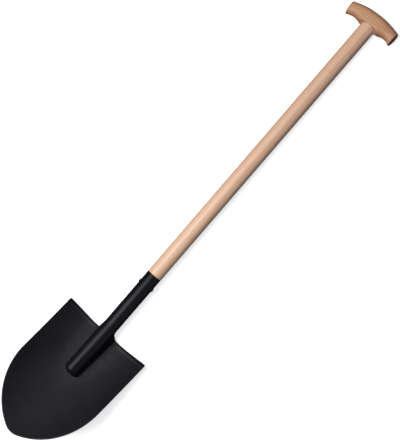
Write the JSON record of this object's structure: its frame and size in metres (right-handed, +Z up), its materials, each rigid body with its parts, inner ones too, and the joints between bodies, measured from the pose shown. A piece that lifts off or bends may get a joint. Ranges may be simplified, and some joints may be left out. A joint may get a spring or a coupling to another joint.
{
  "type": "round point shovel",
  "caption": "Round point shovel with a dished black steel blade, riveted socket, straight ash shaft and wooden T-grip, lying on its back.",
  "frame": {"origin": "centre of the bounding box on the floor, with the shovel lying on its back as it rests", "axes": "+Z up, which is the blade's hollow front; +Y from the blade's point towards the grip; +X the shovel's right side"},
  "size_m": [0.243, 1.2746, 0.1149],
  "materials": {
    "black_steel": "satin black powder coat",
    "shaft_ash": "satin varnish",
    "grip_ash": "satin varnish",
    "wedge_wood": "oiled",
    "pin_steel": "plain steel"
  },
  "bodies": {
    "root": {"blade": "black_steel", "socket": "black_steel", "collar_weld": "black_steel", "seam_weld": "black_steel", "socket_rivet": "black_steel", "shaft": "shaft_ash", "grip": "grip_ash", "grip_wedge": "wedge_wood", "grip_pin": "pin_steel"}
  },
  "joints": []
}
